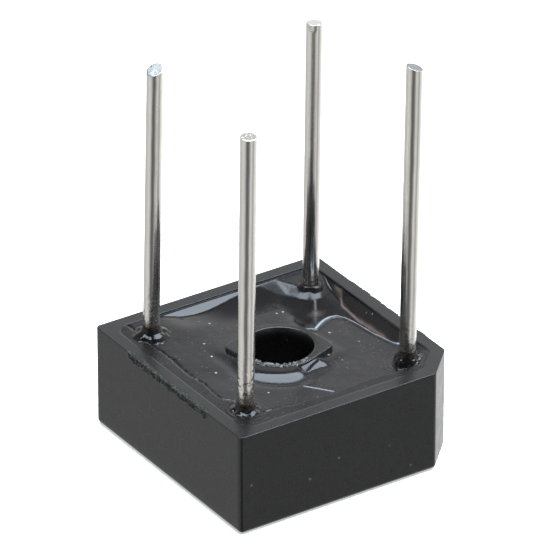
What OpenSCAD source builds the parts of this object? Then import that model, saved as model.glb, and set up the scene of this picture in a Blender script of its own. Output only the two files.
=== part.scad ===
// Potted bridge rectifier: a square moulded case with a screw hole, filled with
// epoxy round four diode chips, with four round wire leads. Millimetres.
// The mounting face lies at z = 0, the hole's axis is Z and the leads point up.

/* [Case] */
// Side of the square case
case_side = 15.44; // [14.7:0.02:15.8]
// Height of the case, from the mounting face to the rim
case_height = 6.4; // [5.8:0.1:6.9]
// Thickness of the side walls at the rim
wall = 0.85; // [0.8:0.05:1]
// Thickness of the floor under the potting
floor_thickness = 1; // [0.8:0.1:1.2]
// Length cut off each side at the positive corner
corner_cut = 2; // [1.5:0.1:2.2]
// Radius of the upright edges and of the edges round the mounting face
edge_radius = 0.3; // [0.1:0.05:0.5]
// Radius of the cavity's upright corners
cavity_radius = 0.9; // [0.6:0.05:1]

/* [Screw hole] */
// Diameter of the screw hole
hole_diameter = 4.1; // [3.6:0.05:4.3]
// Wall of the post round the screw hole
post_wall = 0.45; // [0.35:0.05:0.6]
// Distance from the hole's axis to the tip of each web on the post
web_reach = 3.1; // [3:0.05:3.5]
// Radius of the tip of each web
web_tip_radius = 0.5; // [0.4:0.05:0.7]
// Direction of one web, in degrees from +X; the other is opposite
web_direction = -31; // [-60:1:0]

/* [Break-off edges] */
// Length of the broken strip along the rim of the two side faces
break_length = 8.2; // [6:0.2:10]
// Height of the broken strip
break_height = 0.35; // [0.2:0.05:0.5]
// Furthest that the broken strip stands out
break_reach = 0.1; // [0.05:0.01:0.25]
// Number of points along each broken strip
break_points = 27; // [11:2:41]

/* [Potting] */
// Depth of the potting's level below the rim, on the hole's axis
fill_depth = 0.42; // [0.3:0.02:0.6]
// Slope of the potting's level, from curing out of true, in degrees
fill_slope = 2.6; // [0.5:0.1:4]
// Direction in which the potting's level falls, in degrees from +X
fill_direction = 34; // [0:1:90]
// Height that the potting climbs the case walls
wall_creep = 0.6; // [0.4:0.05:0.8]
// Width of the slope where the potting climbs the case walls
wall_creep_width = 0.9; // [0.6:0.05:1]
// Width of the slope where the potting climbs the post
post_creep_width = 1.5; // [1:0.1:1.8]
// Height above the rim that the potting climbs each lead
lead_creep = 0.26; // [0.1:0.02:0.4]

/* [Leads] */
// Diameter of the tinned lead wire
lead_diameter = 1; // [0.8:0.02:1.1]
// Thickness of the tin, which stops short of the potting
tin_thickness = 0.01; // [0.01:0.005:0.02]
// Distance between leads along X
lead_pitch_x = 10.96; // [10.4:0.02:11.2]
// Distance between leads along Y
lead_pitch_y = 10.29; // [10:0.02:10.8]
// Diameter of the head at the lead's inner end
head_diameter = 1.4; // [1.2:0.05:1.5]
// Thickness of that head
head_thickness = 0.25; // [0.2:0.05:0.4]
// Height above the rim at which a lead starts to lean, where its tin starts too
bend_height = 0.35; // [0.35:0.05:1]
// Length above the rim: positive lead
positive_length = 18.8; // [10:0.1:25]
// Length above the rim: negative lead
negative_length = 17.3; // [10:0.1:25]
// Length above the rim: first AC lead
ac_1_length = 17.6; // [10:0.1:25]
// Length above the rim: second AC lead
ac_2_length = 17.2; // [10:0.1:25]
// Lean in degrees: positive lead
positive_lean = 0.75; // [0.6:0.05:2]
// Lean in degrees: negative lead
negative_lean = 1.2; // [0.6:0.05:2]
// Lean in degrees: first AC lead
ac_1_lean = 0.65; // [0.6:0.05:2]
// Lean in degrees: second AC lead
ac_2_lean = 0.6; // [0.6:0.05:2]
// Direction in which the leads lean, in degrees from +X
lean_direction = -33.5; // [-90:0.5:90]
// Slant of the positive lead's cut end, and the direction in which it falls, in degrees
positive_tip = [17, -20]; // [-180:1:200]
// Slant and direction of the negative lead's cut end
negative_tip = [24, 200]; // [-180:1:200]
// Slant and direction of the first AC lead's cut end
ac_1_tip = [3, -120]; // [-180:1:200]
// Slant and direction of the second AC lead's cut end
ac_2_tip = [4, 60]; // [-180:1:200]
// Sideways shift of the first AC lead from its corner of the pitch
ac_1_shift = [-0.14, 0.09]; // [-0.2:0.01:0.2]
// Sideways shift of the second AC lead from its corner of the pitch
ac_2_shift = [0.11, -0.07]; // [-0.2:0.01:0.2]

/* [Circuit] */
// Thickness of the copper plates
plate_thickness = 0.5; // [0.3:0.05:0.6]
// Width of each plate's arms
plate_width = 2.6; // [2.5:0.05:2.7]
// Clearance between the plates and the case walls
plate_clearance = 0.42; // [0.3:0.02:0.5]
// Potting under the lower plates
plate_lift = 0.45; // [0.3:0.05:0.6]
// Side of each square diode chip
chip_side = 2.5; // [2:0.1:2.5]
// Thickness of each chip's body
chip_thickness = 0.24; // [0.2:0.02:0.3]
// Side of the raised junction face on each chip
mesa_side = 2.1; // [1.6:0.1:2.1]
// Height of the raised junction face
mesa_height = 0.06; // [0.04:0.01:0.1]
// Thickness of each solder layer
solder_thickness = 0.08; // [0.05:0.01:0.12]
// Margin from the edge of a chip's face to its solder
solder_margin = 0.1; // [0.05:0.05:0.2]

/* [Hidden] */
$fn = 96;

half_side = case_side / 2;
hole_radius = hole_diameter / 2;
post_radius = hole_radius + post_wall;
lead_radius = lead_diameter / 2;
bare_radius = lead_radius - tin_thickness;
overlap = 0.1;    // how far a piece that is fused to another reaches into it
sink = 0.02;      // how far the foot of a hollow curve lies under the face it leaves
headroom = 2;     // how far a cut runs on past the face that it opens

// The case seen from above, anticlockwise from the first AC corner. The corner
// at +X -Y is the positive one and is cut off.
case_outline = [
    [-half_side, -half_side],
    [half_side - corner_cut, -half_side],
    [half_side, corner_cut - half_side],
    [half_side, half_side],
    [-half_side, half_side]
];
cavity_outline = inset(case_outline, wall);

// Heights of the circuit's layers.
lower_plate_z = floor_thickness + plate_lift;
lower_solder_z = lower_plate_z + plate_thickness;
chip_z = lower_solder_z + solder_thickness;
upper_solder_z = chip_z + chip_thickness + mesa_height;
upper_plate_z = upper_solder_z + solder_thickness;
lead_solder_z = upper_plate_z + plate_thickness;

// The plates' arms run along the walls, and the chips lie mid-way along them.
plate_outer = half_side - wall - plate_clearance;
plate_inner = plate_outer - plate_width;
arm_middle = (plate_outer + plate_inner) / 2;
// The plates' outer corners keep the same clearance from the cut corner's wall.
plate_cut = 2 * plate_outer - (2 * half_side - corner_cut) + (wall + plate_clearance / 2) * sqrt(2);

// Feet of the leads.
positive_foot = [lead_pitch_x, -lead_pitch_y] / 2;
negative_foot = [-lead_pitch_x, lead_pitch_y] / 2;
ac_1_foot = [-lead_pitch_x, -lead_pitch_y] / 2 + ac_1_shift;
ac_2_foot = [lead_pitch_x, lead_pitch_y] / 2 + ac_2_shift;
feet = [positive_foot, negative_foot, ac_1_foot, ac_2_foot];

// Outward normal of the edge that starts at point i of an anticlockwise outline.
function outward(outline, i) =
    let (along = outline[(i + 1) % len(outline)] - outline[i])
    [along.y, -along.x] / norm(along);

// A convex outline moved in by a distance.
function inset(outline, distance) = [
    for (i = [0 : len(outline) - 1])
        let (
            before = outward(outline, (i + len(outline) - 1) % len(outline)),
            after = outward(outline, i)
        )
        outline[i] - distance * (before + after) / (1 + before * after)
];

function angle_of(direction) = atan2(direction.y, direction.x);

// Depth of the potting's level below the rim over a point.
function depth_at(point) =
    fill_depth + tan(fill_slope) * (point.x * cos(fill_direction) + point.y * sin(fill_direction));

// Convex outline with rounded corners.
module rounded_plan(outline, radius) {
    core = inset(outline, radius);
    count = len(core);
    polygon([
        for (i = [0 : count - 1])
            for (edge = [(i + count - 1) % count, i])
                core[i] + radius * outward(core, edge)
    ]);
    for (corner = core)
        translate(corner) circle(radius);
}

// Section of a hollow curve in the corner between a base at y = 0 and a wall at
// x = 0: it leaves the base at x = -width and meets the wall at y = rise.
module cove(width, rise) {
    fall = rise + sink;
    sweep = (width * width + fall * fall) / (2 * fall);
    difference() {
        translate([-width, -overlap]) square([width + overlap, rise + overlap]);
        translate([-width, sweep - sink]) circle(sweep);
    }
}

// The same hollow curve turned about Z, round something of the given radius.
module turned_cove(radius, width, rise) {
    rotate_extrude() {
        translate([radius, 0]) mirror([1, 0]) cove(width, rise);
        translate([0, -overlap]) square([radius, rise + overlap]);
    }
}

// The same hollow curve along every edge of an outline, run on past its corners.
module edge_coves(outline, width, rise) {
    for (i = [0 : len(outline) - 1]) {
        length = norm(outline[(i + 1) % len(outline)] - outline[i]) + 2 * headroom;
        translate([outline[i].x, outline[i].y, 0])
            rotate([0, 0, angle_of(outward(outline, i))])
                translate([0, length - headroom, 0])
                    rotate([90, 0, 0])
                        linear_extrude(length) cove(width, rise);
    }
}

// One web of the post, in plan along +X: straight flanks that leave the post at
// a tangent and end on a round tip.
module web_plan() {
    tip_x = web_reach - web_tip_radius;
    flank = acos((post_radius - web_tip_radius) / tip_x);
    translate([tip_x, 0]) circle(web_tip_radius);
    polygon([
        [0, 0],
        post_radius * [cos(flank), sin(flank)],
        [tip_x, 0] + web_tip_radius * [cos(flank), sin(flank)],
        [tip_x, 0] + web_tip_radius * [cos(flank), -sin(flank)],
        post_radius * [cos(flank), -sin(flank)]
    ]);
}

// Post round the screw hole, with a web towards the positive and the negative
// corner. It is solid here: the hole is cut through the whole case.
module post(height) {
    linear_extrude(height) {
        circle(post_radius);
        for (turn = [web_direction, web_direction + 180])
            rotate(turn) web_plan();
    }
}

// Where the case snapped off its neighbour in the moulded strip: a ragged edge
// along +X, level with the rim. Each strip's longest point has the full reach.
module broken_strip(seed) {
    ragged = [for (i = [1 : break_points]) 0.35 + abs(sin(i * 137 + seed * 61))];
    step = break_length / (break_points + 1);
    translate([half_side, 0, case_height - break_height])
        linear_extrude(break_height)
            polygon(concat(
                [[-overlap, break_length / 2], [-overlap, -break_length / 2], [0, -break_length / 2]],
                [for (i = [1 : break_points])
                    [break_reach * ragged[i - 1] / max(ragged), i * step - break_length / 2]],
                [[0, break_length / 2]]
            ));
}

// Inside of the case above its floor, up to a given height.
module cavity(top) {
    translate([0, 0, floor_thickness])
        linear_extrude(top - floor_thickness) rounded_plan(cavity_outline, cavity_radius);
}

module case() {
    color("#2d2d2f")
        difference() {
            union() {
                difference() {
                    linear_extrude(case_height) rounded_plan(case_outline, edge_radius);
                    edge_coves(case_outline, edge_radius, 0.75 * edge_radius);
                }
                broken_strip(1);
                rotate([0, 0, 180]) broken_strip(2);
            }
            difference() {
                cavity(case_height + headroom);
                post(case_height);
            }
            translate([0, 0, -headroom]) cylinder(r = hole_radius, h = case_height + 2 * headroom);
        }
}

// Tilts its children as the potting's level is tilted.
module out_of_true() {
    rotate(a = fill_slope, v = [-sin(fill_direction), cos(fill_direction), 0])
        children();
}

// Potting up to its level, with what climbs the walls and the post.
module level_fill() {
    translate([0, 0, case_height - fill_depth])
        out_of_true() {
            translate([-case_side, -case_side, -2 * case_height])
                cube([2 * case_side, 2 * case_side, 2 * case_height]);
            edge_coves(cavity_outline, wall_creep_width, wall_creep);
            turned_cove(post_radius, post_creep_width, fill_depth);
        }
}

// Potting that climbs the leads.
module lead_creeps() {
    for (foot = feet) {
        rise = lead_creep + max(depth_at(foot), 0);
        translate([foot.x, foot.y, case_height + lead_creep - rise])
            out_of_true()
                turned_cove(bare_radius, rise, rise);
    }
}

// A lead stands on its solder at the given height. Its bare copper goes straight
// up through the potting, and the tinned wire above leans a little.
module lead(foot, base_z, length, lean, tip) {
    straight = case_height + bend_height - base_z;
    color("#c8c6bf")
        translate([foot.x, foot.y, base_z]) {
            cylinder(d = head_diameter, h = head_thickness);
            cylinder(r = bare_radius, h = straight + lead_radius / 2);
            translate([0, 0, straight])
                rotate([0, 0, lean_direction])
                    rotate([0, lean, 0])
                        sheared_wire((length - bend_height) / cos(lean), tip[0], tip[1] - lean_direction);
        }
}

// Straight wire along Z. Its end is cut on a slant, lowest in the direction given.
module sheared_wire(length, slant, direction) {
    difference() {
        cylinder(r = lead_radius, h = length + lead_diameter);
        translate([0, 0, length])
            rotate([0, 0, direction])
                rotate([0, slant, 0])
                    translate([0, 0, lead_diameter])
                        cube([4 * lead_diameter, 4 * lead_diameter, 2 * lead_diameter], center = true);
    }
}

// Copper plate under one corner, with an arm along each of the two walls. It is
// drawn at the first AC corner and turned to its own.
module plate(turn, z) {
    reach = chip_side / 2;
    color("#b9754a")
        translate([0, 0, z])
            rotate([0, 0, turn])
                linear_extrude(plate_thickness)
                    polygon([
                        [plate_cut - plate_outer, -plate_outer],
                        [reach, -plate_outer],
                        [reach, -plate_inner],
                        [-plate_inner, -plate_inner],
                        [-plate_inner, reach],
                        [-plate_outer, reach],
                        [-plate_outer, plate_cut - plate_outer]
                    ]);
}

// Square layer centred on the chip of one side, the first side facing -Y.
module chip_layer(turn, side, z, thickness) {
    rotate([0, 0, turn])
        translate([-side / 2, -arm_middle - side / 2, z])
            cube([side, side, thickness]);
}

// Chips under the positive plate have their raised junction face up, and chips
// under the negative plate have it down.
module diode_chip(turn, face_up) {
    color("#70757f") {
        chip_layer(turn, chip_side, face_up ? chip_z : chip_z + mesa_height, chip_thickness);
        chip_layer(turn, mesa_side, face_up ? chip_z + chip_thickness : chip_z, mesa_height);
    }
}

// Solder on a chip's whole face or on its raised face.
module chip_solder(turn, z, on_raised_face) {
    color("#9a9b9d")
        chip_layer(turn, (on_raised_face ? mesa_side : chip_side) - 2 * solder_margin, z, solder_thickness);
}

module lead_solder(foot, z) {
    color("#9a9b9d")
        translate([foot.x, foot.y, z]) cylinder(d = head_diameter, h = solder_thickness);
}

// The leads, each with the height of its own plate. The plates of the AC leads
// lie under the chips and those of the positive and negative leads lie over them.
module lead_positive() {
    lead(positive_foot, lead_solder_z + solder_thickness, positive_length, positive_lean, positive_tip);
}
module lead_negative() {
    lead(negative_foot, lead_solder_z + solder_thickness, negative_length, negative_lean, negative_tip);
}
module lead_ac_1() {
    lead(ac_1_foot, lower_solder_z + solder_thickness, ac_1_length, ac_1_lean, ac_1_tip);
}
module lead_ac_2() {
    lead(ac_2_foot, lower_solder_z + solder_thickness, ac_2_length, ac_2_lean, ac_2_tip);
}

// Everything that the potting surrounds.
module potted_pieces() {
    lead_positive();
    lead_negative();
    lead_ac_1();
    lead_ac_2();
    plate(90, upper_plate_z);
    plate(270, upper_plate_z);
    plate(0, lower_plate_z);
    plate(180, lower_plate_z);
    for (side = [0 : 3]) {
        face_up = side < 2;
        diode_chip(90 * side, face_up);
        chip_solder(90 * side, lower_solder_z, !face_up);
        chip_solder(90 * side, upper_solder_z, face_up);
    }
    lead_solder(positive_foot, lead_solder_z);
    lead_solder(negative_foot, lead_solder_z);
    lead_solder(ac_1_foot, lower_solder_z);
    lead_solder(ac_2_foot, lower_solder_z);
}

module potting_compound() {
    color("#18181b")
        difference() {
            union() {
                intersection() {
                    cavity(case_height);
                    level_fill();
                }
                intersection() {
                    cavity(case_height + headroom);
                    lead_creeps();
                }
            }
            post(case_height + headroom);
            potted_pieces();
        }
}

case();
potting_compound();
lead_positive();
lead_negative();
lead_ac_1();
lead_ac_2();
plate(90, upper_plate_z);  // plate_positive
plate(270, upper_plate_z);  // plate_negative
plate(0, lower_plate_z);  // plate_ac_1
plate(180, lower_plate_z);  // plate_ac_2
diode_chip(0, true);  // diode_chip_1
diode_chip(90, true);  // diode_chip_2
diode_chip(180, false);  // diode_chip_3
diode_chip(270, false);  // diode_chip_4
chip_solder(0, lower_solder_z, false);  // solder_chip_1_lower
chip_solder(90, lower_solder_z, false);  // solder_chip_2_lower
chip_solder(180, lower_solder_z, true);  // solder_chip_3_lower
chip_solder(270, lower_solder_z, true);  // solder_chip_4_lower
chip_solder(0, upper_solder_z, true);  // solder_chip_1_upper
chip_solder(90, upper_solder_z, true);  // solder_chip_2_upper
chip_solder(180, upper_solder_z, false);  // solder_chip_3_upper
chip_solder(270, upper_solder_z, false);  // solder_chip_4_upper
lead_solder(positive_foot, lead_solder_z);  // solder_lead_positive
lead_solder(negative_foot, lead_solder_z);  // solder_lead_negative
lead_solder(ac_1_foot, lower_solder_z);  // solder_lead_ac_1
lead_solder(ac_2_foot, lower_solder_z);  // solder_lead_ac_2
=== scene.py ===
"""Bridge rectifier: the moulded case, the cured potting and the cut wires, with their materials.

The case, the potting and the leads replace their CAD nodes with finer meshes of the same size.
Lengths are in millimetres until a mesh is made, and named angles are in degrees. The potting's
heights are measured from the case's rim.
"""

import math

import bpy
import numpy as np
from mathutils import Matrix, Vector, noise


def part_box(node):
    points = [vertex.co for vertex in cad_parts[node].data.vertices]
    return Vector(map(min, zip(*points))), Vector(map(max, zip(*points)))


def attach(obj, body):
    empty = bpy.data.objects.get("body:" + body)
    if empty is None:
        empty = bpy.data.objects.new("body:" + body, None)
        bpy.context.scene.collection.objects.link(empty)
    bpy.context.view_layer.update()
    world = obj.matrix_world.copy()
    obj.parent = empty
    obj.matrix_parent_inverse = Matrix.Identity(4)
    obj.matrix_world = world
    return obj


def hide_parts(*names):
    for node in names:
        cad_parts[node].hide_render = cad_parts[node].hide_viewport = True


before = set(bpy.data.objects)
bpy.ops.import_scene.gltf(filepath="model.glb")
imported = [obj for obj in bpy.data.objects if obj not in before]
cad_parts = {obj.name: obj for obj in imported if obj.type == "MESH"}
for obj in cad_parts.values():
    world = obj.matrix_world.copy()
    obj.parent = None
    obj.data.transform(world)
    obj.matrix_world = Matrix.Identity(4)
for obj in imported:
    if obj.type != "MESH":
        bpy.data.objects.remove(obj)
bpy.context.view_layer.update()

MM = 0.001

# ---------------------------------------------------------------- sizes, as in the CAD part
_, CASE_HIGH = (np.array(corner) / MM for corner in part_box("case"))
RIM = CASE_HIGH[2]
HALF_SIDE = CASE_HIGH[1]
FLASH_REACH = CASE_HIGH[0] - HALF_SIDE  # how far the broken edges stand out
CORNER_CUT = 2.0
EDGE_RADIUS = 0.3
WALL = 0.85
CAVITY_RADIUS = 0.9
FLOOR = 1.0
HOLE_RADIUS = 2.05
POST_RADIUS = 2.5
WEB_REACH = 3.1
WEB_TIP_RADIUS = 0.5
WEB_DIRECTION = -31
WIRE_RADIUS = 0.5
BARE_RADIUS = 0.49
BEND_Z = RIM + 0.35  # where a lead starts to lean and its tin starts
LEAN_DIRECTION = -33.5
INNER = HALF_SIDE - WALL  # half the cavity's width

WET_SIDE = -123.5  # plan direction of the side where the potting swells furthest from the post
AROUND = 960  # points round each turned surface of the case and the potting
BEVEL = 0.035  # worn width of the case's upper edges

# ---------------------------------------------------------------- small maths


def smooth(low, high, value):
    """Smooth step from 0 at low to 1 at high."""
    t = np.clip((value - low) / (high - low), 0, 1)
    return t * t * (3 - 2 * t)


def ramp_up(value, softness):
    """Value where it is positive and 0 elsewhere, with a soft knee."""
    return softness * np.logaddexp(0, value / softness)


def slope(value, start, end, knee=0.08):
    """0 before start and 1 after end, straight between them with rounded knees."""
    rise = ramp_up(value - start, knee) - ramp_up(value - end, knee)
    return rise / (end - start)


def bell(value, centre, width):
    """Smooth bump of height 1 on a centre."""
    return np.exp(-(((value - centre) / width) ** 2))


def window(value, start, full, fade, end):
    """1 from full to fade, and 0 before start and after end."""
    return smooth(start, full, value) * (1 - smooth(fade, end, value))


def towards(value, goal, share):
    """A value moved towards a goal by a share of the way."""
    return value + (goal - value) * share


def off_wet_side(turn):
    """Degrees from the wet side to a plan direction, from -180 to 180."""
    return (turn - WET_SIDE + 180) % 360 - 180


def grain(x, y, z, size, seed=0.0):
    """Gradient noise from -1 to 1 with features of the given size."""
    flat = np.broadcast_arrays(x, y, z)
    shape = flat[0].shape
    points = np.stack([a.ravel() for a in flat], 1) / size + seed
    return np.array([noise.noise(Vector(p)) for p in points]).reshape(shape)


def inset(outline, distance):
    """A convex anticlockwise outline moved in by a distance."""
    points = np.array(outline, float)
    along = np.roll(points, -1, 0) - points
    normals = np.stack([along[:, 1], -along[:, 0]], 1) / np.linalg.norm(along, axis=1)[:, None]
    before = np.roll(normals, 1, 0)
    bisector = (before + normals) / (1 + (before * normals).sum(1))[:, None]
    return points - distance * bisector


def rounded(outline, radius, steps=14):
    """The outline's points with each corner turned to an arc."""
    core = inset(outline, radius)
    along = np.roll(core, -1, 0) - core
    headings = np.arctan2(-along[:, 0], along[:, 1])
    points = []
    for i, corner in enumerate(core):
        start, end = headings[i - 1], headings[i]
        turn = (end - start) % (2 * math.pi)
        for k in range(steps + 1):
            angle = start + turn * k / steps
            points.append(corner + radius * np.array([math.cos(angle), math.sin(angle)]))
    return np.array(points)


def reach(outline, angles):
    """How far a star-shaped outline lies from the origin at each angle."""
    where = np.arctan2(outline[:, 1], outline[:, 0]) % (2 * math.pi)
    outline = np.roll(outline, -int(np.argmin(where)), 0)
    where = np.sort(where)
    last = np.searchsorted(where, angles % (2 * math.pi)) % len(where)
    a, b = outline[last - 1], outline[last]
    ray = np.stack([np.cos(angles), np.sin(angles)], 1)
    edge = b - a
    return (a[:, 0] * edge[:, 1] - a[:, 1] * edge[:, 0]) / (ray[:, 0] * edge[:, 1] - ray[:, 1] * edge[:, 0])


def web(angles, direction):
    """Reach of the post together with one web that points in a direction."""
    tip = WEB_REACH - WEB_TIP_RADIUS
    flank = math.acos((POST_RADIUS - WEB_TIP_RADIUS) / tip)
    around_post = np.linspace(flank, 2 * math.pi - flank, 120)
    around_tip = np.linspace(-flank, flank, 40)
    outline = np.concatenate([
        np.stack([tip + WEB_TIP_RADIUS * np.cos(around_tip), WEB_TIP_RADIUS * np.sin(around_tip)], 1),
        POST_RADIUS * np.stack([np.cos(around_post), np.sin(around_post)], 1),
    ])
    return reach(outline, angles - math.radians(direction))


ANGLES = (np.arange(AROUND) + 0.5) * 2 * math.pi / AROUND  # of the points round a turned surface, in radians
CASE_OUTLINE = [
    (-HALF_SIDE, -HALF_SIDE),
    (HALF_SIDE - CORNER_CUT, -HALF_SIDE),
    (HALF_SIDE, CORNER_CUT - HALF_SIDE),
    (HALF_SIDE, HALF_SIDE),
    (-HALF_SIDE, HALF_SIDE),
]
CAVITY = reach(rounded(inset(CASE_OUTLINE, WALL), CAVITY_RADIUS), ANGLES)
POST = np.maximum(web(ANGLES, WEB_DIRECTION), web(ANGLES, WEB_DIRECTION + 180))
HOLE = np.full(AROUND, HOLE_RADIUS)


def case_reach(inward):
    """Reach of the case's outline, moved in by a distance."""
    return reach(rounded(inset(CASE_OUTLINE, inward), max(EDGE_RADIUS - inward, 0.03)), ANGLES)


def ring(radius, z, angles=ANGLES):
    """Points at a radius and a height, each either one number or one for every angle."""
    radius = np.broadcast_to(radius, angles.shape)
    return np.stack([radius * np.cos(angles), radius * np.sin(angles), np.broadcast_to(z, angles.shape)], 1)


def between(start, end, count, ends=True):
    """Rings evenly spaced from one to another, with or without those two."""
    steps = np.linspace(0, 1, count) if ends else np.linspace(0, 1, count + 2)[1:-1]
    return [start + (end - start) * t for t in steps]


# ---------------------------------------------------------------- meshes


def add(name, data):
    """A new object in the scene."""
    made = bpy.data.objects.new(name, data)
    bpy.context.scene.collection.objects.link(made)
    return made


def loft(name, rings, material, closed=False, **fields):
    """Skin over rings of points. A closed one joins its last ring to its first, and an open one is capped.
    Each field is a number for every point, kept as a mesh attribute."""
    rings = np.array(rings)
    rows, around = rings.shape[:2]
    index = np.arange(rows * around).reshape(rows, around)
    low, high = (index, np.roll(index, -1, 0)) if closed else (index[:-1], index[1:])
    quads = np.stack([low, np.roll(low, -1, 1), np.roll(high, -1, 1), high], -1).reshape(-1, 4)
    faces = quads.tolist()
    if not closed:
        faces += [index[0, ::-1].tolist(), index[-1].tolist()]
    mesh = bpy.data.meshes.new(name)
    mesh.from_pydata((rings.reshape(-1, 3) * MM).tolist(), [], faces)
    mesh.polygons.foreach_set("use_smooth", [True] * len(mesh.polygons))
    for key, values in fields.items():
        attribute = mesh.attributes.new(key, "FLOAT", "POINT")
        attribute.data.foreach_set("value", np.asarray(values, np.float32).ravel())
    mesh.materials.append(material)
    mesh.update()
    return add(name, mesh)


# ---------------------------------------------------------------- materials


class Nodes:
    """Short calls to add and join the nodes of a tree."""

    def __init__(self, tree):
        self.tree = tree

    def put(self, value, socket):
        """Join an output to a socket, or set the socket to a number or colour."""
        if isinstance(value, bpy.types.NodeSocket):
            self.tree.links.new(value, socket)
        else:
            socket.default_value = value

    def node(self, kind, inputs=None, **settings):
        """A new node, its inputs given by name or number and its settings by name."""
        made = self.tree.nodes.new(kind)
        for key, value in settings.items():
            setattr(made, key, value)
        for key, value in (inputs or {}).items():
            self.put(value, made.inputs[key])
        return made

    def math(self, operation, *values):
        """The result of a sum on values, each an output or a number."""
        return self.node("ShaderNodeMath", dict(enumerate(values)), operation=operation).outputs[0]


class Graph(Nodes):
    """A new material's node tree."""

    def __init__(self, name):
        self.material = bpy.data.materials.new(name)
        self.material.use_nodes = True
        super().__init__(self.material.node_tree)
        self.shader = self.tree.nodes["Principled BSDF"]
        self.place = self.node("ShaderNodeTexCoord").outputs["Object"]

    def set(self, **inputs):
        """Set or join inputs of the shader, named with underscores for spaces."""
        for key, value in inputs.items():
            self.put(value, self.shader.inputs[key.replace("_", " ")])

    def stretched(self, x=1.0, y=1.0, z=1.0):
        """Object coordinates in millimetres, scaled along each axis."""
        scale = (x / MM, y / MM, z / MM)
        return self.node("ShaderNodeMapping", {"Vector": self.place, "Scale": scale}).outputs[0]

    def noise(self, size, detail=3.0, roughness=0.55, vector=None):
        """Noise from 0 to 1 with features of a size in millimetres."""
        where = vector or self.stretched()
        made = self.node(
            "ShaderNodeTexNoise",
            {"Vector": where, "Scale": 1 / size, "Detail": detail, "Roughness": roughness},
        )
        return made.outputs["Fac"]

    def range(self, value, low, high, to_low=0.0, to_high=1.0):
        """A value stretched from one range to another and kept inside it."""
        made = self.node(
            "ShaderNodeMapRange",
            {"Value": value, "From Min": low, "From Max": high, "To Min": to_low, "To Max": to_high},
        )
        return made.outputs["Result"]

    def specks(self, size, share):
        """Small round specks, 1 inside them, on a share of the cells of a size in millimetres."""
        cells = self.node(
            "ShaderNodeTexVoronoi",
            {"Vector": self.stretched(), "Scale": 1 / size, "Randomness": 1.0},
        )
        near = self.range(cells.outputs["Distance"], 0.10, 0.22, 1.0, 0.0)
        chosen = self.node("ShaderNodeSeparateColor", {"Color": cells.outputs["Color"]}).outputs[0]
        return self.math("MULTIPLY", near, self.math("LESS_THAN", chosen, share))

    def field(self, name):
        """One of the numbers that loft kept for every point."""
        return self.node("ShaderNodeAttribute", attribute_name=name).outputs["Fac"]

    def mix(self, amount, first, second):
        """The first colour turned to the second by an amount.
        Sockets 6 and 7 take the two colours, and output 2 is their mix."""
        return self.node("ShaderNodeMix", {0: amount, 6: first, 7: second}, data_type="RGBA").outputs[2]

    def bump(self, height, distance, strength=1.0, under=None):
        """Normals bent by a height of at most a distance in millimetres, on top of the bump under it."""
        inputs = {"Height": height, "Distance": distance * MM, "Strength": strength}
        if under is not None:
            inputs["Normal"] = under
        return self.node("ShaderNodeBump", inputs).outputs[0]


def case_plastic():
    """Matte moulded black plastic, granular where the case was broken off its strip."""
    g = Graph("case_plastic")
    broken = g.field("broken")
    mottle = g.noise(2.5, 4.0)
    plain = g.mix(mottle, (0.0050, 0.0046, 0.0044, 1), (0.0086, 0.0078, 0.0074, 1))
    dusty = g.mix(g.math("MULTIPLY", g.specks(0.5, 0.03), 0.22), plain, (0.30, 0.30, 0.28, 1))
    grit = g.range(g.noise(0.11, 2.0), 0.50, 0.64)
    crumb = g.mix(grit, (0.004, 0.005, 0.003, 1), (0.060, 0.063, 0.044, 1))
    chip = g.range(g.noise(0.13, 2.0), 0.60, 0.66)
    flake = g.mix(chip, (0.008, 0.008, 0.008, 1), (0.11, 0.11, 0.105, 1))
    chipped = g.field("chipped")
    fine = g.noise(0.05, 3.0, 0.65)
    satin = g.range(g.noise(0.7, 3.0), 0.3, 0.7, 0.25, 0.33)
    g.set(
        Base_Color=g.mix(chipped, g.mix(broken, dusty, crumb), flake),
        Roughness=g.math("ADD", satin, g.math("MULTIPLY", broken, 0.6)),
        Normal=g.bump(fine, 0.010, 0.35, g.bump(g.noise(0.11, 2.0), 0.05, broken)),
    )
    return g.material


def potting_epoxy():
    """Black epoxy: dull and dusty on the level, glossy where it climbs or sinks, with a painted highlight
    along the lip's crest, a light-coloured fibre and a painted copper-coloured reflection in the trough.
    """
    g = Graph("potting_epoxy")
    gloss = g.field("gloss")
    dull = g.math("SUBTRACT", 1.0, gloss)
    mottle = g.noise(0.9, 4.0)
    deep = g.mix(mottle, (0.0056, 0.0050, 0.0052, 1), (0.0112, 0.0100, 0.0100, 1))
    # Painted copper-coloured reflection of the bare wire, as a line and a patch in the trough.
    with_copper_reflection = g.mix(g.field("amber"), deep, (0.13, 0.095, 0.080, 1))
    # Painted bluish highlight along the lip's crest, together with the real light colour of the fibre.
    with_crest_highlight = g.mix(g.field("pale"), with_copper_reflection, (0.46, 0.49, 0.54, 1))
    small = g.math("MULTIPLY", g.specks(0.17, 0.12), 0.22)
    large = g.math("MULTIPLY", g.specks(0.42, 0.06), 0.60)
    dust = g.math("MULTIPLY", g.math("MAXIMUM", small, large), g.range(dull, 0.0, 1.0, 0.15, 1.0))
    haze = g.range(g.noise(0.35, 3.0), 0.35, 0.65, 0.12, 0.22)
    g.set(
        Base_Color=g.mix(dust, with_crest_highlight, (0.55, 0.55, 0.55, 1)),
        Roughness=g.math("ADD", 0.11, g.math("MULTIPLY", dull, haze)),
        Specular_IOR_Level=0.29,
        Normal=g.bump(g.noise(0.22, 3.0), 0.006, g.range(dull, 0.0, 1.0, 0.1, 0.8)),
    )
    return g.material


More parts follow.
